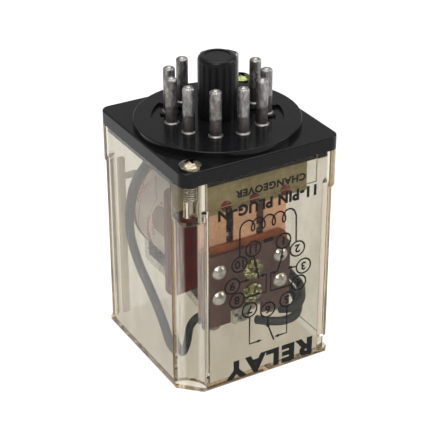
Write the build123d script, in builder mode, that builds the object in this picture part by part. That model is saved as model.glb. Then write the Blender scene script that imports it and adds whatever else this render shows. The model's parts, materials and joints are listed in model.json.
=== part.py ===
from build123d import *
import math
import os

# A plug-in relay with an 11-pin base, three changeover contacts and a clear cover.
# Millimetres. The closed end of the cover stands on z = 0 and the pins point up, along +Z.
# The printed face of the cover looks along -Y. The origin is under the middle of the body.

os.makedirs("parts", exist_ok=True)

# --- driving dimensions: body -------------------------------------------------------------
body_w = 34.6  # square body and base plate
wall = 1.4  # cover wall
cover_h = 46.8  # cover, closed end to mouth
ear_h = 8.5  # full-square corner blocks at the mouth
screw_notch_r = 4.7  # hollow corner flutes below the two screw bosses
plain_notch_r = 2.1  # hollow corner flutes at the other two corners
foot_t = 1.3  # closed end, which is less deeply cut at its corners
plate_t = 2.9
plate_r = 2.0  # corner radius of plate and corner blocks
disc_r = 16.5
disc_h = 1.3
case_screws_at = ((-14.3, -14.8), (14.3, 14.8))  # on one diagonal

# --- driving dimensions: 11-pin plug ------------------------------------------------------
pin_count = 11
pin_circle_r = 9.525
pin_r = 1.18
pin_root_r = 1.05  # below the collar, inside the base
pin_bore_r = 0.62  # cup at the tip, filled with solder
pin_bore_depth = 3.0
pin_len = 9.35  # above the disc face
post_r = 3.85
post_len = 12.6
key_angle = 25.2  # the key lies half-way between pins 11 and 1
key_w = 2.0
key_reach = 4.8
pocket_depth = 0.6  # shallow wedge pockets round pins 2 and 8
pocket_r = 13.0

# --- driving dimensions: magnet -----------------------------------------------------------
coil_z = 27.2  # height of the coil's axis, which lies along Y
core_r = 4.0
pole_r = 5.6
winding_r = 11.1
wrap_r = 11.5
flange_y = -5.2  # front face of the bobbin
bobbin_back_y = 13.4
yoke_w = 16.0
yoke_t = 2.0
yoke_back_y = 15.4
yoke_top_z = 45.3
hinge_y = -9.2
hinge_z = 14.4
closing_angle = 3.2  # travel of the armature
rest_gap = 0.1  # left between pole and armature when it is closed

# --- driving dimensions: contacts ---------------------------------------------------------
pole_x = (-7.9, -1.1, 5.7)
spring_w = 5.2
spring_t = 0.3
contact_r = 1.1
contact_z = 42.2
blade_t = 0.35
rivet_x = (-7.5, 6.5)
rivet_z = (18.6, 24.5)
card_screw_z = (17.9, 23.4)
card_screw_x = -0.1

# --- derived stations ---------------------------------------------------------------------
half = body_w / 2
inner = half - wall
plate_top = cover_h + plate_t
face_z = plate_top + disc_h
tip_z = face_z + pin_len
ear_z = cover_h - ear_h
rim_z = cover_h - 1.5  # lower edge of the base's locating rim
pitch = 360 / pin_count

# The contact stack, from the armature's inner face out towards the printed wall (-Y).
armature_t = 1.7
backing_y = hinge_y - armature_t
spring_y = backing_y - 0.7
sheet_y = spring_y - spring_t
card_back_y = sheet_y - 0.4
card_y = card_back_y - 0.9
block_y = -14.9  # front of the contact block
block_z = 38.7
block_top = 45.2


def pin_spot(number):
    """Place of a pin on its circle, numbered clockwise from the key as seen on the pins."""
    angle = math.radians(key_angle - (number - 0.5) * pitch)
    return (pin_circle_r * math.cos(angle), pin_circle_r * math.sin(angle))


def cap_radius(rim, height):
    """Radius of the ball whose cap has this rim radius and height."""
    return (rim**2 + height**2) / (2 * height)


def facing(y):
    """Plane across Y, with X to the right and Z up, whose extrusions run towards -Y."""
    return Plane.XZ.offset(-y)


def keep(builder, label):
    """Names a finished piece and writes it."""
    builder.part.label = label
    export_step(builder.part, f"parts/{label}.step")


# ================================ cover ====================================================
screw_corners = ((-half, -half), (half, half))
plain_corners = ((-half, half), (half, -half))
foot_step_h = 2.8
foot_step = 0.9
foot_cut = 4.2
ear_w = 4.7
recess_z = 40.6
recess_d = 0.35
screw_hole_z = 39.8

with BuildPart() as cover:
    with BuildSketch(Plane.XY.offset(foot_t)):
        Rectangle(body_w, body_w)
        with Locations(*screw_corners):
            Circle(screw_notch_r, mode=Mode.SUBTRACT)
        with Locations(*plain_corners):
            Circle(plain_notch_r, mode=Mode.SUBTRACT)
    extrude(amount=cover_h - foot_t)
    fillet(cover.edges().filter_by(Axis.Z), 0.35)
    with BuildSketch():
        Rectangle(body_w, body_w)
    foot = extrude(amount=foot_t)
    foot_edges = foot.edges().filter_by(Axis.Z)
    corner_edges = foot_edges.sort_by(lambda e: e.center().X + e.center().Y)
    chamfer([corner_edges[0], corner_edges[-1]], foot_cut)
    chamfer(corner_edges[1:3], plain_notch_r - 0.6)
    fillet(cover.faces().sort_by(Axis.Z)[0].edges(), 0.6)
    with BuildSketch(Plane.XY.offset(ear_z)):
        with Locations(*screw_corners, *plain_corners):
            Rectangle(2 * ear_w, 2 * ear_w)
        Rectangle(body_w, body_w, mode=Mode.INTERSECT)
        fillet([v for v in vertices() if abs(v.X) > half - 0.1 and abs(v.Y) > half - 0.1], plate_r)
    ears = extrude(amount=ear_h, mode=Mode.PRIVATE)
    ear_undersides = ears.faces().filter_by(Axis.Z).group_by(Axis.Z)[0]
    outer_edges = [
        e
        for e in ear_undersides.edges()
        if max(abs(e.center().X), abs(e.center().Y)) > half - 1.2
    ]
    add(ears.fillet(0.9, outer_edges))
    # The step at the foot of the +X wall.
    with BuildSketch(Plane.XY):
        with Locations((half, 0)):
            Rectangle(2 * foot_step, body_w)
    extrude(amount=foot_step_h, mode=Mode.SUBTRACT)
    # The cavity.
    with BuildSketch(Plane.XY.offset(wall)):
        Rectangle(2 * inner, 2 * inner)
        with Locations(*screw_corners):
            Circle(screw_notch_r + wall, mode=Mode.SUBTRACT)
        with Locations(*plain_corners):
            Circle(plain_notch_r + wall, mode=Mode.SUBTRACT)
    extrude(amount=ear_z, mode=Mode.SUBTRACT)
    with BuildSketch(Plane.XY.offset(ear_z + wall)):
        Rectangle(2 * inner, 2 * inner)
        with Locations(*screw_corners):
            Circle(screw_notch_r + wall, mode=Mode.SUBTRACT)
        fillet([v for v in vertices() if v.X * v.Y < 0 and abs(v.X) > inner - 0.1], 1.2)
    extrude(amount=ear_h, mode=Mode.SUBTRACT)
    # A shallow pocket inside the printed wall, beside the contact block.
    with BuildSketch(Plane.XY.offset(recess_z)):
        with Locations((0.3, -inner)):
            Rectangle(24.4, 2 * recess_d)
    extrude(amount=ear_h, mode=Mode.SUBTRACT)
    # Threaded holes of the two case screws.
    with Locations(*[(x, y, cover_h) for x, y in case_screws_at]):
        Cylinder(1.0, cover_h - screw_hole_z, align=(Align.CENTER, Align.CENTER, Align.MAX),
                 mode=Mode.SUBTRACT)
keep(cover, "cover")

# ================================ base =====================================================
rim_gap = 0.15
rim_w = 1.2
boss_spots = ((-5.5, 11.6), (5.5, 11.6))

with BuildPart() as base:
    with BuildSketch(Plane.XY.offset(cover_h)):
        RectangleRounded(body_w, body_w, plate_r)
    extrude(amount=plate_t)
    fillet(base.faces().sort_by(Axis.Z)[-1].edges(), 0.3)
    with BuildSketch(Plane.XY.offset(plate_top)):
        Circle(disc_r)
    extrude(amount=disc_h)
    fillet(base.faces().sort_by(Axis.Z)[-1].edges(), 0.2)
    # Wedge pockets one pin pitch wide, round pins 2 and 8.
    with BuildSketch(Plane.XY.offset(face_z)):
        for number in (2, 8):
            middle = key_angle - (number - 0.5) * pitch
            with BuildLine():
                a = PolarLine((0, 0), pocket_r, middle - pitch / 2)
                b = PolarLine((0, 0), pocket_r, middle + pitch / 2)
                RadiusArc(a @ 1, b @ 1, -pocket_r)
            make_face()
        Circle(6.2, mode=Mode.SUBTRACT)
        with PolarLocations(pin_circle_r, pin_count, key_angle - pitch / 2):
            Circle(pin_r + 0.75, mode=Mode.SUBTRACT)
    extrude(amount=-pocket_depth, mode=Mode.SUBTRACT)
    # Centre post with its key.
    with BuildSketch(Plane.XY.offset(face_z - 0.5)):
        Circle(post_r)
    post = extrude(amount=post_len + 0.5)
    fillet(post.faces().sort_by(Axis.Z)[-1].edges(), 0.9)
    with BuildSketch(Plane.XY.offset(face_z - 0.5)):
        with Locations(Location((0, 0), key_angle)):
            Rectangle(key_reach, key_w, align=(Align.MIN, Align.CENTER))
        Circle(post_r - 1, mode=Mode.SUBTRACT)
    extrude(amount=post_len - 0.2)
    with Locations((0, 0, face_z + post_len)):
        Cylinder(2.55, 0.3, mode=Mode.SUBTRACT)
    # Locating rim inside the cover's mouth, open over the wiring space.
    with BuildSketch(Plane.XY.offset(rim_z)):
        Rectangle(2 * (inner - rim_gap), 2 * (inner - rim_gap))
        with Locations(*screw_corners):
            Circle(screw_notch_r + wall + rim_gap, mode=Mode.SUBTRACT)
        fillet([v for v in vertices() if v.X * v.Y < 0 and abs(v.X) > inner - 0.5], 1.1)
        offset(amount=-rim_w, mode=Mode.SUBTRACT)
    extrude(amount=cover_h - rim_z)
    # Bosses that the yoke hangs from.
    with BuildSketch(Plane.XY.offset(rim_z)):
        with Locations(*boss_spots):
            Circle(1.9)
    extrude(amount=cover_h - rim_z)
    with Locations(*[(x, y, rim_z) for x, y in boss_spots]):
        Cylinder(0.85, 3.4, align=(Align.CENTER, Align.CENTER, Align.MIN), mode=Mode.SUBTRACT)
    with Locations(*[(x, y, plate_top) for x, y in case_screws_at]):
        Cylinder(1.1, 2 * plate_t + 1, mode=Mode.SUBTRACT)
    with BuildSketch(Plane.XY.offset(rim_z)):
        with PolarLocations(pin_circle_r, pin_count, key_angle - pitch / 2):
            Circle(pin_root_r + 0.02)
    extrude(amount=face_z - rim_z + 1, mode=Mode.SUBTRACT)
keep(base, "base")

# ================================ pins and their solder ====================================
pin_root_z = 45.6
flange_r = 1.45
flange_h = 0.45
tip_round = 0.5

with BuildPart() as pin_blank:
    with BuildSketch(Plane.XZ):
        with BuildLine():
            Polyline(
                (0, pin_root_z),
                (pin_root_r, pin_root_z),
                (pin_root_r, face_z + 0.01),
                (flange_r, face_z + 0.01),
                (flange_r, face_z + 0.2),
                (pin_r, face_z + flange_h),
                (pin_r, tip_z - tip_round),
            )
            RadiusArc((pin_r, tip_z - tip_round), (pin_r - tip_round, tip_z), -tip_round)
            Polyline(
                (pin_r - tip_round, tip_z),
                (pin_bore_r, tip_z),
                (pin_bore_r, tip_z - pin_bore_depth),
                (0, tip_z - pin_bore_depth),
                (0, pin_root_z),
            )
        make_face()
    revolve(axis=Axis.Z)

for number in range(1, pin_count + 1):
    with BuildPart() as pin:
        with Locations(pin_spot(number)):
            add(pin_blank.part)
    keep(pin, f"pin_{number:02d}")

solder_crown = 0.22

with BuildPart() as solder_blank:
    with BuildSketch(Plane.XZ):
        with BuildLine():
            Polyline(
                (0, tip_z + solder_crown),
                (0, tip_z - pin_bore_depth),
                (pin_bore_r, tip_z - pin_bore_depth),
                (pin_bore_r, tip_z),
            )
            RadiusArc(
                (pin_bore_r, tip_z), (0, tip_z + solder_crown), -cap_radius(pin_bore_r, solder_crown)
            )
        make_face()
    revolve(axis=Axis.Z)

with BuildPart() as pin_solder:
    with Locations(*[pin_spot(number) for number in range(1, pin_count + 1)]):
        add(solder_blank.part)
keep(pin_solder, "pin_solder")


# ================================ screws ===================================================
def cross_head_screw(head_r, head_h, shank_r, length, cross):
    """A pan-head screw standing on z = 0, head up, with a cross recess."""
    rim_h = 0.45 * head_h
    with BuildPart() as screw:
        with BuildSketch(Plane.XZ):
            with BuildLine():
                Polyline(
                    (0, head_h),
                    (0, -length),
                    (shank_r - 0.3, -length),
                    (shank_r, -length + 0.4),
                    (shank_r, 0),
                    (head_r, 0),
                    (head_r, rim_h),
                )
                RadiusArc((head_r, rim_h), (0, head_h), -cap_radius(head_r, head_h - rim_h))
            make_face()
        revolve(axis=Axis.Z)
        with Locations((0, 0, head_h)):
            Box(cross, cross * 0.26, head_h, mode=Mode.SUBTRACT)
            Box(cross * 0.26, cross, head_h, mode=Mode.SUBTRACT)
    return screw


case_screw = cross_head_screw(head_r=2.15, head_h=1.5, shank_r=0.8, length=6.2, cross=2.3)
with BuildPart() as cover_screws:
    with Locations(*[(x, y, plate_top) for x, y in case_screws_at]):
        add(case_screw.part)
keep(cover_screws, "cover_screws")

# ================================ yoke and its screws ======================================
yoke_floor_z = hinge_z - 1.0
yoke_front_y = hinge_y + 0.25
flange_front_y = 6.0
flange_t = 1.6

with BuildPart() as yoke:
    with BuildSketch(Plane.YZ):
        with BuildLine():
            Polyline(
                (yoke_front_y, yoke_floor_z),
                (yoke_back_y, yoke_floor_z),
                (yoke_back_y, yoke_top_z),
                (flange_front_y, yoke_top_z),
                (flange_front_y, yoke_top_z - flange_t),
                (yoke_back_y - yoke_t + 0.2, yoke_top_z - flange_t),
                (yoke_back_y - yoke_t + 0.2, yoke_floor_z + yoke_t),
                (yoke_front_y, yoke_floor_z + yoke_t),
                close=True,
            )
        make_face()
    extrude(amount=yoke_w / 2, both=True)
    fillet(yoke.edges().filter_by(Axis.X).group_by(Axis.Y)[-1], 1.2)
    with Locations(Location((0, yoke_back_y, coil_z), (90, 0, 0))):
        Cylinder(3.0, 3 * yoke_t, mode=Mode.SUBTRACT)
    with Locations(*[(x, y, yoke_top_z) for x, y in boss_spots]):
        Cylinder(1.0, 4 * flange_t, mode=Mode.SUBTRACT)
keep(yoke, "yoke")

yoke_screw = cross_head_screw(head_r=1.7, head_h=1.2, shank_r=0.82, length=4.6, cross=1.8)
with BuildPart() as yoke_screws:
    for x, y in boss_spots:
        with Locations(Location((x, y, yoke_top_z - flange_t), (180, 0, 0))):
            add(yoke_screw.part)
keep(yoke_screws, "yoke_screws")

# ================================ coil =====================================================
pole_back_y = -6.6
slope = math.tan(math.radians(closing_angle))
groove_back_y = -7.3
groove_r = (3.0, 3.8)


def pole_face_y(z):
    """The pole face leans so that it is parallel to the armature when that is closed."""
    return hinge_y + rest_gap + (z - hinge_z) * slope


with BuildPart() as core:
    with BuildSketch(facing(bobbin_back_y + 0.2)):
        with Locations((0, coil_z)):
            Circle(core_r)
    extrude(amount=bobbin_back_y + 0.2 - pole_back_y)
    with BuildSketch(facing(yoke_back_y - 0.2)):
        with Locations((0, coil_z)):
            Circle(2.97)
    extrude(amount=yoke_back_y - 0.4 - bobbin_back_y)
    with BuildSketch(facing(pole_back_y)):
        with Locations((0, coil_z)):
            Circle(pole_r)
    extrude(amount=3)
    with BuildSketch(facing(groove_back_y)):
        with Locations((0, coil_z)):
            Circle(groove_r[1])
            Circle(groove_r[0], mode=Mode.SUBTRACT)
    extrude(amount=3, mode=Mode.SUBTRACT)
    low_z = coil_z - pole_r - 1
    high_z = coil_z + pole_r + 1
    with BuildSketch(Plane.YZ):
        with BuildLine():
            Polyline(
                (pole_face_y(low_z), low_z),
                (pole_face_y(high_z), high_z),
                (hinge_y - 2, high_z),
                (hinge_y - 2, low_z),
                close=True,
            )
        make_face()
    extrude(amount=pole_r + 1, both=True, mode=Mode.SUBTRACT)
keep(core, "core")

with BuildPart() as shading_ring:
    with BuildSketch(facing(groove_back_y)):
        with Locations((0, coil_z)):
            Circle(groove_r[1] - 0.05)
            Circle(groove_r[0] + 0.05, mode=Mode.SUBTRACT)
    extrude(amount=0.6)
keep(shading_ring, "shading_ring")

tube_r = 4.9
front_flange_x = -0.7
front_flange_w = 25.4
front_flange_low = 16.6
front_flange_top = 40.2

with BuildPart() as bobbin:
    with BuildSketch(facing(bobbin_back_y)):
        with Locations((0, coil_z)):
            Circle(tube_r)
    extrude(amount=bobbin_back_y - flange_y)
    with BuildSketch(facing(bobbin_back_y)):
        with Locations((0, coil_z)):
            Circle(winding_r + 0.6)
    extrude(amount=1.1)
    with BuildSketch(facing(flange_y + 1.2)):
        with Locations((front_flange_x, (front_flange_low + front_flange_top) / 2)):
            RectangleRounded(front_flange_w, front_flange_top - front_flange_low, 1.0)
    extrude(amount=1.2)
    with BuildSketch(facing(bobbin_back_y)):
        with Locations((0, coil_z)):
            Circle(core_r + 0.05)
    extrude(amount=bobbin_back_y - flange_y, mode=Mode.SUBTRACT)
keep(bobbin, "bobbin")

winding_back_y = bobbin_back_y - 1.15
winding_len = winding_back_y - (flange_y + 1.25)


def coil_sleeve(outer_r, inner_r):
    """A round sleeve on the coil's axis, between the bobbin's flanges."""
    with BuildPart() as sleeve:
        with BuildSketch(facing(winding_back_y)):
            with Locations((0, coil_z)):
                Circle(outer_r)
                Circle(inner_r, mode=Mode.SUBTRACT)
        extrude(amount=winding_len)
    return sleeve


keep(coil_sleeve(winding_r, tube_r + 0.05), "coil_winding")
keep(coil_sleeve(wrap_r, winding_r + 0.05), "coil_wrap")

# ================================ armature and its stack ===================================
armature_top = 31.5
tail_x = -1.5
tail_w = 3.0
tail_z = 9.8
tail_hole_z = 10.9

with BuildPart() as armature:
    with BuildSketch(facing(hinge_y)):
        with Locations((0, (hinge_z - 1.8 + armature_top) / 2)):
            Rectangle(10.4, armature_top - hinge_z + 1.8)
        with Locations((tail_x, tail_z)):
            Rectangle(tail_w, hinge_z - tail_z, align=(Align.CENTER, Align.MIN))
        with Locations((tail_x, tail_hole_z)):
            Circle(0.5, mode=Mode.SUBTRACT)
    extrude(amount=armature_t)
    with BuildSketch(facing(hinge_y)):
        with Locations(*[(card_screw_x, z) for z in card_screw_z]):
            Circle(0.95)
    extrude(amount=armature_t, mode=Mode.SUBTRACT)
keep(armature, "armature")

card_x = -0.6
card_w = 18.6
card_top = 28.4
card_low = 12.2
card_corner_r = 2.2  # upper right corner; the others are nearly square


def stack_layer(y, thickness, width, low, top, screw_hole, notch=True):
    """A flat layer of the contact stack, with its rivet and screw holes."""
    with BuildPart() as layer:
        with BuildSketch(facing(y)):
            with Locations((card_x, (low + top) / 2)):
                Rectangle(width, top - low)
            corners = vertices().sort_by(lambda v: v.X + v.Y)
            fillet(corners[-1], card_corner_r)
            fillet(corners[:-1], 0.6)
            if notch:
                with Locations((card_x - 0.7, card_low)):
                    Rectangle(7.4, 5.4, mode=Mode.SUBTRACT)
            with Locations(*[(x, z) for x in rivet_x for z in rivet_z]):
                Circle(0.72, mode=Mode.SUBTRACT)
            with Locations(*[(card_screw_x, z) for z in card_screw_z]):
                Circle(screw_hole, mode=Mode.SUBTRACT)
        extrude(amount=thickness)
    return layer


backing = stack_layer(backing_y, 0.7, 17.4, hinge_z + 0.6, 29.2, 0.95, notch=False)
keep(backing, "backing_sheet")
top_sheet = stack_layer(sheet_y, 0.4, 18.2, hinge_z + 0.6, 29.9, 0.95, notch=False)
keep(top_sheet, "card_sheet")

keep(stack_layer(card_back_y, 0.9, card_w, card_low, card_top, 0.95), "contact_card")

rivet_head_r = 1.6
rivet_head_h = 0.9
with BuildPart() as card_rivet:
    with BuildSketch(Plane.XY):
        with BuildLine():
            Polyline(
                (0, card_y - rivet_head_h),
                (0, backing_y + 0.6),
                (1.1, backing_y + 0.6),
                (1.1, backing_y),
                (0.7, backing_y),
                (0.7, card_y),
                (rivet_head_r, card_y),
            )
            RadiusArc(
                (rivet_head_r, card_y), (0, card_y - rivet_head_h), cap_radius(rivet_head_r, rivet_head_h)
            )
        make_face()
    revolve(axis=Axis.Y)
with BuildPart() as card_rivets:
    with Locations(*[(x, 0, z) for x in rivet_x for z in rivet_z]):
        add(card_rivet.part)
keep(card_rivets, "card_rivets")

card_screw = cross_head_screw(head_r=2.15, head_h=1.2, shank_r=0.92, length=3.9, cross=2.2)
with BuildPart() as card_screws:
    for z in card_screw_z:
        with Locations(Location((card_screw_x, card_y, z), (90, 0, 0))):
            add(card_screw.part)
keep(card_screws, "card_screws")

spring_top = 43.6
tag_w = 2.4
tag_z = 10.8
neck_z = 38.2

for number, x in enumerate(pole_x, start=1):
    with BuildPart() as spring:
        with BuildSketch(facing(spring_y)):
            with Locations((x, 12.8)):
                Rectangle(spring_w, neck_z - 12.8, align=(Align.CENTER, Align.MIN))
            with Locations((x, neck_z)):
                Rectangle(spring_w - 1.4, spring_top - neck_z, align=(Align.CENTER, Align.MIN))
            with Locations((x, tag_z)):
                Rectangle(tag_w, 3.0, align=(Align.CENTER, Align.MIN))
            with Locations((x, contact_z)):
                Circle(0.52, mode=Mode.SUBTRACT)
            with Locations(*[(rx, z) for rx in rivet_x for z in rivet_z]):
                Circle(0.72, mode=Mode.SUBTRACT)
            with Locations(*[(card_screw_x, z) for z in card_screw_z]):
                Circle(1.5, mode=Mode.SUBTRACT)
        extrude(amount=spring_t)
    keep(spring, f"moving_spring_{number}")

    with BuildPart() as moving_contact:
        with BuildSketch(Plane.XY):
            with BuildLine():
                Polyline(
                    (0, spring_y + 0.5),
                    (contact_r - 0.2, spring_y + 0.5),
                    (contact_r, spring_y + 0.3),
                    (contact_r, spring_y),
                    (0.5, spring_y),
                    (0.5, spring_y - spring_t),
                    (contact_r, spring_y - spring_t),
                    (contact_r, spring_y - spring_t - 0.3),
                    (contact_r - 0.2, spring_y - spring_t - 0.5),
                    (0, spring_y - spring_t - 0.5),
                    close=True,
                )
            make_face()
        revolve(axis=Axis.Y)
    with BuildPart() as placed_contact:
        with Locations((x, 0, contact_z)):
            add(moving_contact.part)
    keep(placed_contact, f"moving_contact_{number}")

# ================================ contact block and fixed contacts =========================
nc_face_y = spring_y - spring_t - 0.55
nc_blade_y = nc_face_y - 0.45
throw = (contact_z - hinge_z) * math.sin(math.radians(closing_angle))
no_face_y = spring_y + 0.5 + throw + 0.1
no_blade_y = no_face_y + 0.45 + blade_t
blade_w = 3.8
blade_low = 40.6
tail_top = 46.4
no_tail_shift = (-1.4, -1.4, 1.4)
block_left = -11.4
block_right = 11.3
block_back_y = -7.7
cell_w = 5.8
roof_z = 44.1

with BuildPart() as contact_block:
    with BuildSketch(facing(block_back_y)):
        with Locations(((block_left + block_right) / 2, (block_z + block_top) / 2)):
            Rectangle(block_right - block_left, block_top - block_z)
    extrude(amount=block_back_y - block_y)
    fillet(contact_block.edges().filter_by(Axis.Z), 0.5)
    for x in pole_x:
        with BuildSketch(Plane.XY.offset(block_z)):
            with Locations((x, (block_y + 1.0 + block_back_y - 0.3) / 2)):
                Rectangle(cell_w, block_back_y - 0.3 - block_y - 1.0)
        extrude(amount=roof_z - block_z, mode=Mode.SUBTRACT)
    for x, shift in zip(pole_x, no_tail_shift):
        with BuildSketch(Plane.XY.offset(roof_z)):
            with Locations((x, nc_blade_y - blade_t / 2)):
                Rectangle(blade_w + 0.04, blade_t + 0.04)
            with Locations((x, no_blade_y - blade_t / 2)):
                Rectangle(blade_w + 0.04, blade_t + 0.04)
        extrude(amount=block_top - roof_z, mode=Mode.SUBTRACT)
keep(contact_block, "contact_block")


def fixed_blade(x, y, tail_shift):
    """A terminal blade that hangs in the contact block, with its tail up in the wiring space."""
    with BuildPart() as blade:
        with BuildSketch(facing(y)):
            with Locations((x, blade_low)):
                Rectangle(blade_w, block_top - blade_low, align=(Align.CENTER, Align.MIN))
            with Locations((x + tail_shift, block_top)):
                Rectangle(1.0, tail_top - block_top, align=(Align.CENTER, Align.MIN))
            with Locations((x, contact_z)):
                Circle(0.5, mode=Mode.SUBTRACT)
        extrude(amount=blade_t)
    return blade


for number, (x, shift) in enumerate(zip(pole_x, no_tail_shift), start=1):
    keep(fixed_blade(x, nc_blade_y, 0), f"nc_blade_{number}")
    keep(fixed_blade(x, no_blade_y, shift), f"no_blade_{number}")

contact_h = 0.4
with BuildPart() as fixed_contact:
    with BuildSketch(facing(0)):
        Circle(0.48)
    extrude(amount=blade_t - 0.02)
    with BuildSketch(facing(-blade_t)):
        Circle(contact_r)
    extrude(amount=contact_h)
    chamfer(fixed_contact.faces().sort_by(Axis.Y)[0].edges(), 0.15)

with BuildPart() as fixed_contacts:
    for x in pole_x:
        # Normally-open contacts look towards -Y, normally-closed ones towards +Y.
        with Locations((x, no_blade_y, contact_z)):
            add(fixed_contact.part)
        with Locations(Location((x, nc_blade_y - blade_t, contact_z), (0, 0, 180))):
            add(fixed_contact.part)
keep(fixed_contacts, "fixed_contacts")

seal_spots = ((-7.0, 39.9), (-0.8, 39.9), (6.2, 39.9))
seal_r = 1.15
seal_h = 0.45
with BuildPart() as seal_blank:
    with BuildSketch(Plane.XY):
        with BuildLine():
            Polyline((0, -seal_h), (0, 0), (seal_r, 0))
            RadiusArc((seal_r, 0), (0, -seal_h), cap_radius(seal_r, seal_h))
        make_face()
    revolve(axis=Axis.Y)
with BuildPart() as varnish_seals:
    with Locations(*[(x, block_y, z) for x, z in seal_spots]):
        add(seal_blank.part)
keep(varnish_seals, "varnish_seals")

# ================================ return spring ============================================
spring_axis_z = tail_hole_z
spring_coil_r = 1.1
anchor_y = -2.4

with BuildPart() as spring_bracket:
    with BuildSketch(Plane.YZ.offset(tail_x)):
        with BuildLine():
            Polyline(
                (anchor_y - 0.6, tail_z),
                (anchor_y, tail_z),
                (anchor_y, yoke_floor_z - 0.6),
                (anchor_y + 4.4, yoke_floor_z - 0.6),
                (anchor_y + 4.4, yoke_floor_z),
                (anchor_y - 0.6, yoke_floor_z),
                close=True,
            )
        make_face()
    extrude(amount=tail_w / 2, both=True)
    with Locations(Location((tail_x, anchor_y, spring_axis_z), (90, 0, 0))):
        Cylinder(0.5, 4, mode=Mode.SUBTRACT)
keep(spring_bracket, "spring_bracket")

with BuildPart() as return_spring:
    with BuildSketch(facing(anchor_y - 0.62)):
        with Locations((tail_x, spring_axis_z)):
            Circle(spring_coil_r)
            Circle(spring_coil_r - 0.35, mode=Mode.SUBTRACT)
    extrude(amount=(anchor_y - 0.62) - (hinge_y + 0.35))
keep(return_spring, "return_spring")


# ================================ leads ====================================================
def lead(points, lead_r, label=None):
    """A tube along straight runs joined by tangent arcs, as large as the runs allow."""
    radii = []
    for before, here, after in zip(points, points[1:], points[2:]):
        run_in = Vector(*here) - Vector(*before)
        run_out = Vector(*after) - Vector(*here)
        half_turn = math.radians(run_in.get_angle(run_out)) / 2
        radii.append(0.45 * min(run_in.length, run_out.length) / math.tan(half_turn))
    with BuildPart() as tube:
        with BuildLine():
            route = FilletPolyline(*points, radius=radii)
        with BuildSketch(Plane(origin=route @ 0, z_dir=route % 0)):
            Circle(lead_r)
        sweep()
    expected = math.pi * lead_r**2 * route.length
    if label:
        print(label, "radii", [round(r, 1) for r in radii], "length", round(route.length, 1),
              "volume/expected", round(tube.part.volume / expected, 4))
    return tube


# Flexible leads from the springs' tags to the base: one down the left, two up the right.
left_lead = (
    (-12.6, 1.2, 45.1), (-14.3, 2.4, 42.2), (-14.4, 6.8, 36.6), (-14.4, 9.1, 30.2),
    (-14.4, 9.3, 23.8), (-14.4, 5.6, 18.8), (-14.4, 0.6, 15.4), (-14.4, -4.2, 11.2),
    (-14.2, -7.2, 6.4), (-13.7, -9.4, 5.4), (-13.0, -10.4, 8.2), (-12.2, -10.4, 12.2),
    (-10.6, -10.4, 13.4), (-8.6, -10.4, 13.4),
)
right_lead = (
    (7.3, -11.9, 10.8), (10.0, -12.5, 10.3), (12.6, -12.0, 11.2), (14.0, -9.6, 13.2),
    (14.3, -5.4, 13.4), (14.3, -1.2, 13.8), (14.3, 3.2, 16.0), (14.3, 6.2, 21.0),
    (14.3, 6.8, 28.0), (14.3, 6.4, 36.0), (12.8, 5.2, 45.1),
)
middle_lead = (
    (1.0, -13.3, 11.0), (4.0, -13.6, 9.8), (7.4, -13.4, 8.6), (11.0, -12.6, 8.3),
    (13.4, -10.0, 8.9), (14.3, -6.0, 10.0), (14.3, 0.0, 10.6), (14.3, 5.2, 11.8),
    (14.3, 9.0, 16.0), (14.3, 9.8, 22.4), (14.2, 9.8, 30.0), (14.0, 9.6, 38.0),
    (12.4, 9.2, 45.1),
)
keep(lead(left_lead, 0.9, "flex_lead_1"), "flex_lead_1")
keep(lead(middle_lead, 0.9, "flex_lead_2"), "flex_lead_2")
keep(lead(right_lead, 0.9, "flex_lead_3"), "flex_lead_3")

coil_lead_routes = (
    ((5.0, -2.5, 38.1), (5.6, -2.7, 40.4), (7.4, -3.3, 42.6), (8.6, -3.8, 45.3)),
    ((3.0, 1.5, 38.7), (3.1, 2.9, 41.0), (2.9, 4.2, 43.6), (2.7, 4.9, 46.3)),
)
with BuildPart() as coil_leads:
    for points in coil_lead_routes:
        add(lead(points, 0.3).part)
keep(coil_leads, "coil_leads")

wire_z = 46.0
wire_routes = (
    ((-7.6, -12.85), (-6.8, -11.2), (-5.5, -9.45)),
    ((-9.4, -8.45), (-10.7, -6.6), (-11.0, -3.0), (-9.8, -0.2)),
    ((-1.5, -12.85), (-3.4, -10.9), (-3.4, -4.0), (-6.4, 4.95)),
    ((-2.4, -8.5), (-1.6, -3.4), (-1.4, 2.5), (-2.4, 7.75)),
    ((5.4, -12.5), (3.4, -11.8), (1.35, -10.4)),
    ((7.2, -8.4), (6.9, -8.2), (6.65, -8.1)),
)
with BuildPart() as hookup_wires:
    for route in wire_routes:
        add(lead([(x, y, wire_z) for x, y in route], 0.3).part)
keep(hookup_wires, "hookup_wires")
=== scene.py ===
import json
import math

import bmesh
import bpy
from mathutils import Matrix, Vector, noise


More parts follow.
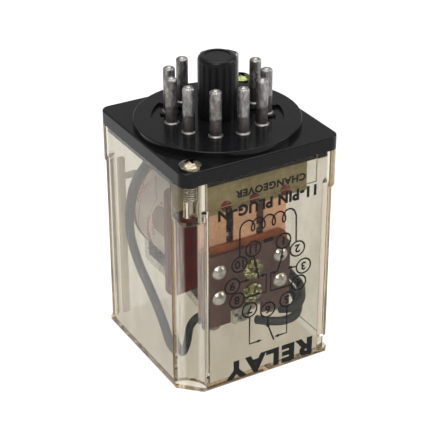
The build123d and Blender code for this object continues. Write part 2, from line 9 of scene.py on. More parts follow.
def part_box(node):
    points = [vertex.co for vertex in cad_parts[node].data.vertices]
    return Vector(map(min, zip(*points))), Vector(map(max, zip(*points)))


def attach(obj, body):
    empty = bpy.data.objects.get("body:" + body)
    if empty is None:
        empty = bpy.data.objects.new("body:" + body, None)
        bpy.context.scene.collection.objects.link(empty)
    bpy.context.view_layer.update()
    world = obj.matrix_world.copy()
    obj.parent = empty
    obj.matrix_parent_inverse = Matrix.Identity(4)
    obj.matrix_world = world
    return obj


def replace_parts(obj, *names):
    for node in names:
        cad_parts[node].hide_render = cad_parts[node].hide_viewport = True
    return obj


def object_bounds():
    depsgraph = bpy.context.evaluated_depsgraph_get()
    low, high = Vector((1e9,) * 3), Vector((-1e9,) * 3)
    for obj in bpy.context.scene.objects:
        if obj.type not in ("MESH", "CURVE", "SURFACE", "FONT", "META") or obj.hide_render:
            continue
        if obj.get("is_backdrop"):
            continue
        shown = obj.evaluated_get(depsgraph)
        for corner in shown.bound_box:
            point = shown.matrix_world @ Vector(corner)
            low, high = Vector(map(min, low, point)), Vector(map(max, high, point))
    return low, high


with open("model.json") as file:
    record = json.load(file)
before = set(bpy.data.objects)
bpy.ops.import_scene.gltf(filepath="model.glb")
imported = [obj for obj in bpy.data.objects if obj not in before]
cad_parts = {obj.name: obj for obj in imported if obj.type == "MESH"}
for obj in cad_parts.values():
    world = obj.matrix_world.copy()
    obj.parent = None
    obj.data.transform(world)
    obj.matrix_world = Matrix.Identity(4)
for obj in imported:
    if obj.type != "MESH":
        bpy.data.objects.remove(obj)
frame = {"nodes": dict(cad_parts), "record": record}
cad_low, cad_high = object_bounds()
nodes = frame["nodes"]
MM = 0.001

# Heights on the object in millimetres, from the closed end of the cover.
FLUTE_TOP = 38.2  # where the flutes under the screw bosses end
PLAIN_CORNER_TOP = 39.8
CLOSED_END_TOP = 1.45
TAPPED_FROM = 43.2  # lower end of the thread marks in the clear bosses
THREAD_TOP = 46.6
THREAD_PITCH = 0.45
POST_FOOT = 51.2
PIN_FOOT = 51.5
DIP_LINE = 55.0  # the solder dip on the pins starts here
TINNED_BELOW = 14.6  # the bronze springs are tinned below this
# Distances from the body's vertical corner edge that tell the corner shapes apart.
FLUTE_REACH = 4.85
PLAIN_CORNER_REACH = 3.75
SCREW_INSET = (3.0, 2.5)


# ---------------------------------------------------------------- shader building blocks
def new_material(name):
    material = bpy.data.materials.new(name)
    material.use_nodes = True
    tree = material.node_tree
    return material, tree, tree.nodes["Principled BSDF"]


def put(shader, **values):
    """Sets sockets that are the same all over the surface."""
    for name, value in values.items():
        shader.inputs[name.replace("_", " ")].default_value = value


def place(tree, stretch=(1, 1, 1)):
    """The point on the piece in millimetres, stretched along each axis."""
    coord = tree.nodes.new("ShaderNodeTexCoord")
    scale = tree.nodes.new("ShaderNodeVectorMath")
    scale.operation = "MULTIPLY"
    scale.inputs[1].default_value = [1000 * s for s in stretch]
    tree.links.new(coord.outputs["Object"], scale.inputs[0])
    return scale.outputs[0]


def grain(tree, where, size, detail=3.0, rough=0.55, distortion=0.0):
    """Noise whose lumps are about size millimetres across."""
    tex = tree.nodes.new("ShaderNodeTexNoise")
    tex.inputs["Scale"].default_value = 1 / size
    tex.inputs["Detail"].default_value = detail
    tex.inputs["Roughness"].default_value = rough
    tex.inputs["Distortion"].default_value = distortion
    tree.links.new(where, tex.inputs["Vector"])
    return tex.outputs["Fac"]


def ramp(tree, value, *stops):
    """Colours along a value, as (position, (r, g, b)) stops."""
    node = tree.nodes.new("ShaderNodeValToRGB")
    while len(node.color_ramp.elements) < len(stops):
        node.color_ramp.elements.new(0.5)
    for element, (at, colour) in zip(node.color_ramp.elements, stops):
        element.position = at
        element.color = (*colour, 1)
    tree.links.new(value, node.inputs["Fac"])
    return node.outputs["Color"]


def span(tree, value, low, high, start=0.3, end=0.7):
    """Maps a value between start and end to low and high."""
    node = tree.nodes.new("ShaderNodeMapRange")
    for socket, number in zip(node.inputs[1:5], (start, end, low, high)):
        socket.default_value = number
    tree.links.new(value, node.inputs["Value"])
    return node.outputs["Result"]


def maths(tree, operation, a, b):
    node = tree.nodes.new("ShaderNodeMath")
    node.operation = operation
    for socket, value in zip(node.inputs, (a, b)):
        if isinstance(value, (int, float)):
            socket.default_value = value
        else:
            tree.links.new(value, socket)
    return node.outputs["Value"]


def distance(tree, a, b):
    """Length of the hypotenuse over two numbers."""
    squares = maths(tree, "ADD", maths(tree, "MULTIPLY", a, a), maths(tree, "MULTIPLY", b, b))
    return maths(tree, "SQRT", squares, 0)


def blend(tree, factor, a, b):
    """A mix of two colours; b where the factor is 1."""
    node = tree.nodes.new("ShaderNodeMix")
    node.data_type = "RGBA"
    tree.links.new(factor, node.inputs["Factor"])
    for socket, value in zip((node.inputs[6], node.inputs[7]), (a, b)):
        if isinstance(value, tuple):
            socket.default_value = (*value, 1)
        else:
            tree.links.new(value, socket)
    return node.outputs[2]


def relief(tree, height, depth, under=None):
    """A bump of so many millimetres."""
    node = tree.nodes.new("ShaderNodeBump")
    node.inputs["Distance"].default_value = depth * MM
    tree.links.new(height, node.inputs["Height"])
    if under is not None:
        tree.links.new(under, node.inputs["Normal"])
    return node.outputs["Normal"]


def component(tree, axis):
    """One coordinate of the point on the piece, in millimetres."""
    split = tree.nodes.new("ShaderNodeSeparateXYZ")
    tree.links.new(place(tree), split.inputs[0])
    return split.outputs[axis]


def plastic(name, dark, light, rough, lump=1.5, depth=0.004, fine=0.08, **values):
    """A moulded or laminated plastic with slow colour changes and a fine skin."""
    material, tree, shader = new_material(name)
    where = place(tree)
    slow = grain(tree, where, lump, 4)
    skin = grain(tree, where, fine, 3)
    tree.links.new(ramp(tree, slow, (0.3, dark), (0.7, light)), shader.inputs["Base Color"])
    tree.links.new(span(tree, slow, rough[0], rough[1]), shader.inputs["Roughness"])
    tree.links.new(relief(tree, skin, depth), shader.inputs["Normal"])
    put(shader, **values)
    return material


def metal(name, dark, light, rough, stretch=(1, 1, 1), lump=0.8, line=0.12, depth=0.004, **values):
    """A plated or bare metal; stretch draws its scratches out along an axis."""
    material, tree, shader = new_material(name)
    slow = grain(tree, place(tree), lump, 4)
    lines = grain(tree, place(tree, stretch), line, 4, 0.65)
    both = maths(tree, "ADD", maths(tree, "MULTIPLY", slow, 0.6), maths(tree, "MULTIPLY", lines, 0.4))
    tree.links.new(ramp(tree, both, (0.35, dark), (0.65, light)), shader.inputs["Base Color"])
    tree.links.new(span(tree, both, rough[0], rough[1], 0.35, 0.65), shader.inputs["Roughness"])
    tree.links.new(relief(tree, lines, depth), shader.inputs["Normal"])
    put(shader, Metallic=1.0, **values)
    return material


# ---------------------------------------------------------------- materials
def cover_material():
    """Clear, slightly amber polycarbonate: tinted through its thickness, faintly scuffed outside, with
    painted highlights along the flute edges.
    """
    material, tree, shader = new_material("clear_polycarbonate")
    smear = grain(tree, place(tree, (1, 1, 0.35)), 5, 5, 0.6, 0.4)
    scuff = grain(tree, place(tree, (1, 1, 0.3)), 0.5, 5, 0.7)
    streak = grain(tree, place(tree, (1, 1, 0.04)), 0.35, 4, 0.6)
    x, y, z = (component(tree, axis) for axis in "XYZ")
    body_half = cad_high.x / MM
    in_x = maths(tree, "SUBTRACT", body_half, maths(tree, "ABSOLUTE", x, 0))
    in_y = maths(tree, "SUBTRACT", body_half, maths(tree, "ABSOLUTE", y, 0))
    reach = distance(tree, in_x, in_y)
    screw_side = maths(tree, "GREATER_THAN", maths(tree, "MULTIPLY", x, y), 0)
    plain_side = maths(tree, "SUBTRACT", 1, screw_side)
    below_ears = maths(tree, "LESS_THAN", z, FLUTE_TOP)
    # The hollow flutes under the screws are whitish along both edges: partly rubbed scuffs, partly painted
    # highlights.
    turn = maths(tree, "DIVIDE", maths(tree, "ARCTAN2", in_x, in_y), math.pi / 2)
    scuffs_and_painted_highlights = ramp(tree, turn, (0.06, (0, 0, 0)), (0.12, (1, 1, 1)), (0.28, (0.7, 0.7, 0.7)),
                  (0.36, (0, 0, 0)), (0.66, (0, 0, 0)), (0.76, (0.7, 0.7, 0.7)), (0.98, (0.5, 0.5, 0.5)))
    flute = maths(tree, "MULTIPLY", maths(tree, "LESS_THAN", reach, FLUTE_REACH), below_ears)
    flute = maths(tree, "MULTIPLY", flute, screw_side)
    streaks = span(tree, streak, 0.35, 1, 0.35, 0.65)
    scuff_and_highlight_whitening = maths(tree, "MULTIPLY", maths(tree, "MULTIPLY", flute, scuffs_and_painted_highlights), streaks)
    # The plain corners and the closed end are thicker, so they look browner.
    plain = maths(tree, "MULTIPLY", maths(tree, "LESS_THAN", reach, PLAIN_CORNER_REACH), plain_side)
    plain = maths(tree, "MULTIPLY", plain, maths(tree, "LESS_THAN", z, PLAIN_CORNER_TOP))
    closed_end = maths(tree, "LESS_THAN", z, CLOSED_END_TOP)
    tone = ramp(tree, smear, (0.3, (0.65, 0.63, 0.56)), (0.7, (0.8, 0.785, 0.73)))
    tone = blend(tree, plain, tone, (0.58, 0.53, 0.44))
    tone = blend(tree, closed_end, tone, (0.76, 0.71, 0.62))
    tree.links.new(span(tree, scuff, 0.0, 0.03), shader.inputs["Roughness"])
    # Thread of the case screws, pressed into the clear bosses.
    from_axis = distance(tree, maths(tree, "SUBTRACT", in_x, SCREW_INSET[0]),
                         maths(tree, "SUBTRACT", in_y, SCREW_INSET[1]))
    near_axis = maths(tree, "LESS_THAN", from_axis, 1.06)
    tapped = maths(tree, "MULTIPLY", near_axis, maths(tree, "GREATER_THAN", z, TAPPED_FROM))
    wave = maths(tree, "SINE", maths(tree, "MULTIPLY", z, 2 * math.pi / THREAD_PITCH), 0)
    ridge = maths(tree, "MULTIPLY", wave, tapped)
    tone = blend(tree, maths(tree, "GREATER_THAN", ridge, 0.1), tone, (0.3, 0.28, 0.24))
    # Where the flute edges are whitish (partly scuffs, partly painted highlights), the wall lets less light
    # through and turns pale.
    clear = maths(tree, "MINIMUM", span(tree, scuff_and_highlight_whitening, 1.0, 0.6, 0, 1), span(tree, ridge, 1.0, 0.3, 0, 0.4))
    tree.links.new(clear, shader.inputs["Transmission Weight"])
    tree.links.new(blend(tree, scuff_and_highlight_whitening, tone, (0.92, 0.9, 0.86)), shader.inputs["Base Color"])
    tree.links.new(relief(tree, ridge, 0.07, relief(tree, scuff, 0.0008)), shader.inputs["Normal"])
    put(shader, IOR=1.5, Specular_IOR_Level=0.12, Specular_Tint=(0.1, 0.1, 0.1, 1))
    output = tree.nodes["Material Output"]
    lamp = tree.nodes.new("ShaderNodeBsdfTransparent")
    lamp.inputs["Color"].default_value = (0.62, 0.6, 0.56, 1)
    path = tree.nodes.new("ShaderNodeLightPath")
    mix = tree.nodes.new("ShaderNodeMixShader")
    tree.links.new(path.outputs["Is Shadow Ray"], mix.inputs[0])
    tree.links.new(shader.outputs[0], mix.inputs[1])
    tree.links.new(lamp.outputs[0], mix.inputs[2])
    tree.links.new(mix.outputs[0], output.inputs["Surface"])
    tint = tree.nodes.new("ShaderNodeVolumeAbsorption")
    tint.inputs["Color"].default_value = (0.58, 0.44, 0.2, 1)
    tint.inputs["Density"].default_value = 45
    tree.links.new(tint.outputs[0], output.inputs["Volume"])
    return material


def base_material():
    """Glossy black moulding with a little dust and handling wear."""
    material, tree, shader = new_material("black_phenolic")
    where = place(tree)
    slow = grain(tree, where, 5, 4)
    dust = grain(tree, where, 0.35, 6, 0.75)
    colour = blend(tree, span(tree, dust, 0, 0.6, 0.58, 0.74), (0.004, 0.004, 0.0045), (0.045, 0.043, 0.04))
    tree.links.new(colour, shader.inputs["Base Color"])
    post = span(tree, component(tree, "Z"), 0, 0.14, POST_FOOT, POST_FOOT + 0.4)
    tree.links.new(maths(tree, "ADD", span(tree, slow, 0.1, 0.22), post), shader.inputs["Roughness"])
    skin = relief(tree, grain(tree, where, 0.25, 3), 0.0015)
    tree.links.new(relief(tree, slow, 0.03, skin), shader.inputs["Normal"])
    put(shader, Specular_IOR_Level=0.14)
    return material


def pin_material():
    """Nickelled pin, dipped in solder over its upper part: mottled above, smooth and darker below."""
    material, tree, shader = new_material("tinned_pin")
    mottle = grain(tree, place(tree, (1, 1, 0.5)), 0.8, 6, 0.68, 0.6)
    fine = grain(tree, place(tree, (1, 1, 0.25)), 0.1, 4)
    dipped = ramp(tree, mottle, (0.34, (0.09, 0.082, 0.078)), (0.5, (0.2, 0.19, 0.182)),
                  (0.64, (0.36, 0.35, 0.335)))
    bare = ramp(tree, fine, (0.3, (0.07, 0.06, 0.056)), (0.7, (0.17, 0.155, 0.148)))
    foot = ramp(tree, fine, (0.3, (0.12, 0.115, 0.11)), (0.7, (0.26, 0.25, 0.24)))
    height = maths(tree, "ADD", component(tree, "Z"), maths(tree, "MULTIPLY", mottle, 1.2))
    dip_line = span(tree, height, 0, 1, DIP_LINE, DIP_LINE + 0.5)
    foot_line = span(tree, component(tree, "Z"), 1, 0, PIN_FOOT, PIN_FOOT + 0.25)
    colour = blend(tree, foot_line, blend(tree, dip_line, bare, dipped), foot)
    tree.links.new(colour, shader.inputs["Base Color"])
    tree.links.new(span(tree, mottle, 0.28, 0.5), shader.inputs["Roughness"])
    lumps = maths(tree, "MULTIPLY", mottle, dip_line)
    tree.links.new(relief(tree, lumps, 0.12, relief(tree, fine, 0.006)), shader.inputs["Normal"])
    put(shader, Metallic=0.95)
    return material


def case_screw_material():
    """Dull nickel on the front case screw and yellow passivation on the rear one."""
    material, tree, shader = new_material("case_screw_metal")
    where = place(tree)
    slow = grain(tree, where, 0.5, 4)
    nickel = ramp(tree, slow, (0.3, (0.1, 0.085, 0.06)), (0.7, (0.3, 0.265, 0.2)))
    zinc = ramp(tree, slow, (0.3, (0.08, 0.09, 0.03)), (0.7, (0.22, 0.24, 0.1)))
    rear = maths(tree, "GREATER_THAN", component(tree, "Y"), 0)
    tree.links.new(blend(tree, rear, nickel, zinc), shader.inputs["Base Color"])
    tree.links.new(span(tree, slow, 0.1, 0.2), shader.inputs["Roughness"])
    tree.links.new(relief(tree, grain(tree, where, 0.12, 3), 0.001), shader.inputs["Normal"])
    put(shader, Metallic=1.0)
    return material


def chromate_material():
    """Glossy yellow passivation under lacquer, shading from green to orange over its lumps; its near-white
    patches are painted highlights.
    """
    material, tree, shader = new_material("passivated_screw_painted_glints")
    patches = grain(tree, place(tree), 1.5, 2.5, 0.5, 1.4)
    # The green, yellow and orange stops are the passivation's own tints; the near-white last stop is a
    # painted highlight.
    colour = ramp(tree, patches, (0.37, (0.012, 0.03, 0.014)), (0.43, (0.08, 0.12, 0.04)),
                  (0.49, (0.42, 0.42, 0.1)), (0.53, (0.3, 0.13, 0.04)), (0.57, (0.3, 0.36, 0.2)),
                  (0.63, (0.9, 0.92, 0.8)))
    tree.links.new(colour, shader.inputs["Base Color"])
    tree.links.new(span(tree, patches, 0.05, 0.16), shader.inputs["Roughness"])
    tree.links.new(relief(tree, patches, 0.9), shader.inputs["Normal"])
    put(shader, Metallic=0.85, Coat_Weight=0.8, Coat_Roughness=0.05)
    return material


def spring_material():
    """Rolled bronze, tinned at the soldering tags."""
    material, tree, shader = new_material("spring_bronze")
    slow = grain(tree, place(tree), 0.8, 4)
    lines = grain(tree, place(tree, (1, 1, 0.06)), 0.12, 4, 0.65)
    both = maths(tree, "ADD", maths(tree, "MULTIPLY", slow, 0.6), maths(tree, "MULTIPLY", lines, 0.4))
    bronze = ramp(tree, both, (0.35, (0.74, 0.4, 0.25)), (0.65, (0.95, 0.62, 0.45)))
    tin = ramp(tree, slow, (0.3, (0.2, 0.21, 0.18)), (0.7, (0.5, 0.52, 0.47)))
    height = maths(tree, "ADD", component(tree, "Z"), slow)
    tinned = span(tree, height, 1, 0, TINNED_BELOW, TINNED_BELOW + 0.4)
    tree.links.new(blend(tree, tinned, bronze, tin), shader.inputs["Base Color"])
    tree.links.new(span(tree, both, 0.28, 0.45, 0.35, 0.65), shader.inputs["Roughness"])
    tree.links.new(relief(tree, lines, 0.004), shader.inputs["Normal"])
    put(shader, Metallic=1.0)
    return material


def wrap_material():
    """White coil tape, a little yellowed, with wrinkles along its turn."""
    material, tree, shader = new_material("coil_tape")
    where = place(tree)
    slow = grain(tree, where, 3, 5)
    wrinkle = grain(tree, place(tree, (0.15, 1, 0.15)), 0.5, 4)
    tree.links.new(ramp(tree, slow, (0.3, (0.72, 0.64, 0.62)), (0.7, (0.88, 0.83, 0.81))),
                   shader.inputs["Base Color"])
    tree.links.new(span(tree, wrinkle, 0.35, 0.55), shader.inputs["Roughness"])
    tree.links.new(relief(tree, wrinkle, 0.05), shader.inputs["Normal"])
    return material


def laminate_material(name, dark, light, rough):
    """Paper or cloth laminate: a faint crossed weave under varnish."""
    material, tree, shader = new_material(name)
    where = place(tree)
    slow = grain(tree, where, 1.6, 5)
    weave = maths(
        tree, "ADD",
        grain(tree, place(tree, (6, 1, 1)), 1.2, 3),
        grain(tree, place(tree, (1, 1, 6)), 1.2, 3),
    )
    both = maths(tree, "ADD", maths(tree, "MULTIPLY", slow, 0.5), maths(tree, "MULTIPLY", weave, 0.25))
    tree.links.new(ramp(tree, both, (0.38, dark), (0.6, light)), shader.inputs["Base Color"])
    tree.links.new(span(tree, slow, rough[0], rough[1]), shader.inputs["Roughness"])
    tree.links.new(relief(tree, weave, 0.01), shader.inputs["Normal"])
    return material


def sleeve_material(name, dark, light):
    """Varnished cloth sleeving: fine crossed threads."""
    material, tree, shader = new_material(name)
    where = place(tree)
    threads = tree.nodes.new("ShaderNodeTexVoronoi")
    threads.inputs["Scale"].default_value = 5.0
    tree.links.new(where, threads.inputs["Vector"])
    slow = grain(tree, where, 1.5, 4)
    tree.links.new(ramp(tree, slow, (0.3, dark), (0.7, light)), shader.inputs["Base Color"])
    tree.links.new(span(tree, slow, 0.4, 0.65), shader.inputs["Roughness"])
    tree.links.new(relief(tree, threads.outputs["Distance"], 0.03), shader.inputs["Normal"])
    put(shader, Specular_IOR_Level=0.25)
    return material


paint = {
    "clear_plastic": cover_material(),
    "black_plastic": base_material(),
    "tinned_brass": pin_material(),
    "solder": metal("solder", (0.16, 0.155, 0.15), (0.42, 0.41, 0.4), (0.25, 0.5), lump=0.4,
                    line=0.3, depth=0.03),
    "nickel_steel": case_screw_material(),
    "zinc_steel": chromate_material(),
    "relay_iron": metal("plated_iron", (0.54, 0.54, 0.52), (0.66, 0.66, 0.64), (0.24, 0.32),
                        (1, 1, 0.03), line=0.3, depth=0.001),
    "copper": metal("enamelled_copper", (0.42, 0.16, 0.08), (0.62, 0.26, 0.13), (0.25, 0.4)),
    "spring_bronze": spring_material(),
    "contact_silver": metal("silver", (0.55, 0.55, 0.56), (0.74, 0.74, 0.76), (0.2, 0.28), lump=1.2,
                            depth=0.0005),
    "dark_nylon": plastic("bobbin_nylon", (0.13, 0.014, 0.012), (0.2, 0.03, 0.026), (0.4, 0.5), lump=3,
                          depth=0.001),
    "white_wrap": wrap_material(),
    "laminate": laminate_material("orange_laminate", (0.2, 0.045, 0.012), (0.36, 0.1, 0.028), (0.35, 0.5)),
    "card_laminate": laminate_material("purple_laminate", (0.07, 0.03, 0.03), (0.13, 0.06, 0.055),
                                       (0.3, 0.45)),
    "tan_phenolic": plastic("tan_phenolic", (0.26, 0.21, 0.1), (0.4, 0.34, 0.18), (0.3, 0.45), depth=0.01),
    "varnish": plastic("locking_varnish", (0.12, 0.012, 0.008), (0.22, 0.035, 0.02), (0.1, 0.2), depth=0.004),
    "spring_steel": metal("spring_steel", (0.5, 0.5, 0.48), (0.75, 0.75, 0.73), (0.2, 0.3)),
    "dark_sleeve": sleeve_material("dark_sleeve", (0.022, 0.026, 0.032), (0.052, 0.06, 0.07)),
}
ink = plastic("black_ink", (0.003, 0.003, 0.003), (0.01, 0.01, 0.01), (0.5, 0.65), lump=0.6, depth=0.002,
              Specular_IOR_Level=0.12)
red_ink = plastic("red_ink", (0.55, 0.06, 0.1), (0.7, 0.12, 0.16), (0.45, 0.6), lump=0.5)
rib_plastic = plastic("milky_rib", (0.74, 0.66, 0.53), (0.85, 0.77, 0.64), (0.4, 0.55), lump=4)
tape = plastic("grey_tape", (0.3, 0.24, 0.19), (0.4, 0.33, 0.27), (0.4, 0.55), lump=1.0, depth=0.01)

for part in frame["record"]["subparts"]:
    shown = nodes[part["node"]].data.materials
    shown.clear()
    shown.append(paint[part["material_slot"]])


# ---------------------------------------------------------------- mesh helpers
def finish_piece(name, bm, material, body, smooth=40):
    """Makes a piece of the object from a mesh built in the frame's metres."""
    mesh = bpy.data.meshes.new(name)
    bmesh.ops.recalc_face_normals(bm, faces=bm.faces)
    bm.to_mesh(mesh)
    bm.free()
    mesh.materials.append(material)
    piece = bpy.data.objects.new(name, mesh)
    bpy.context.scene.collection.objects.link(piece)
    mesh.shade_smooth()
    mesh.set_sharp_from_angle(angle=math.radians(smooth))
    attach(piece, body)
    return piece


def mesh_of(data):
    """The mesh of a curve or text, with its doubled edge points joined."""
    maker = bpy.data.objects.new("maker", data)
    bpy.context.scene.collection.objects.link(maker)
    bpy.context.view_layer.update()
    mesh = bpy.data.meshes.new_from_object(maker.evaluated_get(bpy.context.evaluated_depsgraph_get()))
    bpy.data.objects.remove(maker)
    bm = bmesh.new()
    bm.from_mesh(mesh)
    bmesh.ops.remove_doubles(bm, verts=bm.verts, dist=1e-7)
    bmesh.ops.dissolve_degenerate(bm, edges=bm.edges, dist=1e-8)
    bpy.data.meshes.remove(mesh)
    return bm


def tube(points, radius, closed=False, sides=2):
    """A round tube along points in millimetres."""
    curve = bpy.data.curves.new("route", "CURVE")
    curve.dimensions = "3D"
    curve.bevel_depth = radius * MM
    curve.bevel_resolution = sides
    curve.use_fill_caps = True
    line = curve.splines.new("POLY")
    line.points.add(len(points) - 1)
    for point, at in zip(line.points, points):
        point.co = (at[0] * MM, at[1] * MM, at[2] * MM, 1)
    line.use_cyclic_u = closed
    return mesh_of(curve)


def join(target, source, matrix=None):
    """Adds source's faces to target and frees source."""
    if matrix is not None:
        bmesh.ops.transform(source, matrix=matrix, verts=source.verts)
    scratch = bpy.data.meshes.new("scratch")
    source.to_mesh(scratch)
    source.free()
    target.from_mesh(scratch)
    bpy.data.meshes.remove(scratch)


# ---------------------------------------------------------------- print on the -Y face
face_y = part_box("cover")[0].y / MM
ink_depth = 0.03
ink_gap = 0.002  # keeps the ink off the face behind it
ink_mid_y = face_y - ink_depth / 2 - ink_gap
line_w = 0.18
printed = bmesh.new()


def ink_line(points, closed=False, weight=line_w):
    """A printed line through (x, z) points, flattened onto the face."""
    bm = tube([(x, 0, z) for x, z in points], weight, closed)
    flat = Matrix.Translation((0, ink_mid_y * MM, 0))
    flat = flat @ Matrix.Diagonal((1, ink_depth / 2 / weight, 1, 1))
    join(printed, bm, flat)


def lettering(text, x, z, height, width=None, weight=0.0, spacing=1.0):
    """Text centred on (x, z), upside down because the relay stands on its cover."""
    font = bpy.data.curves.new("text", "FONT")
    font.body = text
    font.size = 1
    font.offset = weight
    font.space_character = spacing
    font.extrude = 0.5
    font.resolution_u = 6
    bm = mesh_of(font)
    xs = [v.co.x for v in bm.verts]
    ys = [v.co.y for v in bm.verts]
    size = Vector((max(xs) - min(xs), max(ys) - min(ys)))
    up = height / size.y
    along = width / size.x if width else up
    centre = Vector(((max(xs) + min(xs)) / 2, (max(ys) + min(ys)) / 2, 0))
    turned = Matrix(((-along * MM, 0, 0, 0), (0, 0, -ink_depth * MM, 0), (0, -up * MM, 0, 0),
                     (0, 0, 0, 1)))
    where = Matrix.Translation((x * MM, ink_mid_y * MM, z * MM))
    join(printed, bm, where @ turned @ Matrix.Translation(-centre))


def dot(x, z, radius):
    """A printed spot."""
    bm = bmesh.new()
    bmesh.ops.create_cone(bm, cap_ends=True, segments=24, radius1=radius * MM, radius2=radius * MM,
                          depth=ink_depth * MM)
    where = Matrix.Translation((x * MM, ink_mid_y * MM, z * MM))
    join(printed, bm, where @ Matrix.Rotation(math.pi / 2, 4, "X"))


def arrow(x, z, towards, length=1.3, width=0.9):
    """A printed arrow head with its tip at (x, z), pointing along towards."""
    ahead = Vector(towards).normalized()
    side = Vector((-ahead.y, ahead.x))
    back = Vector((x, z)) - ahead * length
    corners = [Vector((x, z)), back + side * width / 2, back - side * width / 2]
    bm = bmesh.new()
    front = [bm.verts.new((c.x * MM, (face_y - ink_depth) * MM, c.y * MM)) for c in corners]
    rear = [bm.verts.new((c.x * MM, (face_y - ink_gap) * MM, c.y * MM)) for c in corners]
    bm.faces.new(front)
    bm.faces.new(rear[::-1])
    for i in range(3):
        j = (i + 1) % 3
        bm.faces.new((front[j], front[i], rear[i], rear[j]))
    join(printed, bm)


terminals = {
    1: (4.8, 29.9), 2: (8.1, 27.2), 3: (9.65, 22.8), 4: (8.65, 19.2), 5: (6.0, 16.1), 6: (1.5, 15.1),
    7: (-2.75, 16.4), 8: (-5.65, 19.5), 9: (-6.7, 23.0), 10: (-5.15, 27.5), 11: (-2.1, 30.1),
}
ring_r = 1.65
for number, (x, z) in terminals.items():
    ring = [(x + ring_r * math.cos(a * math.pi / 16), z + ring_r * math.sin(a * math.pi / 16))
            for a in range(32)]
    ink_line(ring, closed=True)
    lettering(str(number), x, z, 1.85, weight=0.03)

# Coil sign: up from terminal 10, over four loops and down to terminal 2.
coil = [(-5.1, 29.1), (-5.1, 34.9)]
coil += [(-3.5 - 1.6 * math.cos(a * math.pi / 8), 34.9 + 1.75 * math.sin(a * math.pi / 8))
         for a in range(1, 5)]
loops = 4
loop_pitch = 2.33
for step in range(loops * 24 + 1):
    turn = step / 24 * 2 * math.pi
    coil.append((-3.35 + loop_pitch * step / 24 + 0.85 * math.sin(turn), 35.4 + 1.3 * math.cos(turn)))
coil += [(6.6, 36.5), (7.2, 35.9), (7.6, 34.8), (7.75, 28.85)]
ink_line(coil)

# The key's mark, between terminals 11 and 1.
ink_line([(0.3, 31.15), (2.4, 31.15)], weight=0.45)

# Changeover contacts: a hinged blade with an open contact on one side and a closed one on the other.
ink_line([(-1.9, 28.5), (-1.6, 26.7), (-0.7, 23.1)])
dot(-1.6, 26.7, 0.42)
arrow(-0.7, 23.5, (-1, 0), 1.1, 0.8)
ink_line([(0.3, 23.45), (1.0, 23.45), (1.0, 19.4), (-4.0, 19.5)])
ink_line([(-5.05, 23.4), (-3.4, 23.4)])
arrow(-2.7, 23.4, (1, 0), 1.1, 0.8)
ink_line([(4.65, 28.25), (4.5, 26.4), (3.55, 23.3)])
dot(4.5, 26.4, 0.42)
arrow(3.6, 23.3, (1, 0), 1.1, 0.8)
ink_line([(2.6, 23.35), (2.05, 23.35), (2.05, 19.3), (7.0, 19.2)])
ink_line([(8.0, 23.1), (6.5, 23.3)])
arrow(5.75, 23.35, (-1, 0), 1.1, 0.8)
ink_line([(1.5, 13.4), (1.6, 11.4), (3.05, 7.4)])
dot(1.6, 11.4, 0.42)
ink_line([(6.0, 14.4), (6.1, 8.1), (4.2, 8.1)])
arrow(3.1, 8.1, (-1, 0), 1.1, 0.8)
ink_line([(-2.7, 14.7), (-2.7, 8.3), (-0.7, 8.3)])
arrow(0.3, 8.3, (1, 0), 1.1, 0.8)

lettering("RELAY", 2.1, 3.1, 4.3, 20.6, weight=0.06, spacing=1.25)
lettering("11-PIN PLUG-IN", 1.1, 39.3, 2.45, 22.0, weight=0.05, spacing=1.1)
lettering("CHANGEOVER", 1.7, 42.9, 1.6, 15.6, weight=0.04, spacing=1.1)
finish_piece("label_print", printed, ink, "case", smooth=30)

# ---------------------------------------------------------------- print and tape on the coil
wrap_low, wrap_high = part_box("coil_wrap")
wrap_r = (wrap_high.z - wrap_low.z) / 2 / MM
coil_z = (wrap_high.z + wrap_low.z) / 2 / MM


def on_wrap(angle, y, lift=0.0):
    """A point on the coil tape; the angle runs from the top over to -X."""
    a = math.radians(angle)
    return (-(wrap_r + lift) * math.sin(a), y, coil_z + (wrap_r + lift) * math.cos(a))


def along_wrap(knots, steps=8):
    """Points on the tape between (angle, y) knots."""
    points = []
    for (a0, y0), (a1, y1) in zip(knots, knots[1:]):
        points += [on_wrap(a0 + (a1 - a0) * s / steps, y0 + (y1 - y0) * s / steps) for s in range(steps)]
    return points + [on_wrap(*knots[-1])]


coil_marks = bmesh.new()
for knots in (
    [(53.5, 10.6), (74.9, 10.5), (88.8, 10.7), (106, 11.6)],
    [(43.9, 9.6), (49.7, 8.0), (56.3, 6.6), (60.0, 5.4), (70.4, 5.6), (80.3, 6.0)],
    [(52.0, 12.0), (60.0, 11.7)],
):
    join(coil_marks, tube(along_wrap(knots), 0.07))
for knots, count, length in (
    (((59.0, 11.4), (76.0, 11.7)), 7, 5.0),
    (((82.0, 6.2), (118.0, 8.0)), 15, 4.5),
    (((86.0, 4.1), (98.0, 4.5)), 4, 3.5),
    (((61.0, 3.2), (65.0, 3.4)), 2, 3.0),
):
    (a0, y0), (a1, y1) = knots
    for n in range(count):
        a = a0 + (a1 - a0) * n / (count - 1)
        y = y0 + (y1 - y0) * n / (count - 1)
        tilt = 0.35 if n % 2 else -0.2
        join(coil_marks, tube([on_wrap(a - tilt * 2, y - 0.45), on_wrap(a + tilt * 2, y + 0.45)], 0.13))
finish_piece("coil_print", coil_marks, red_ink, "case")

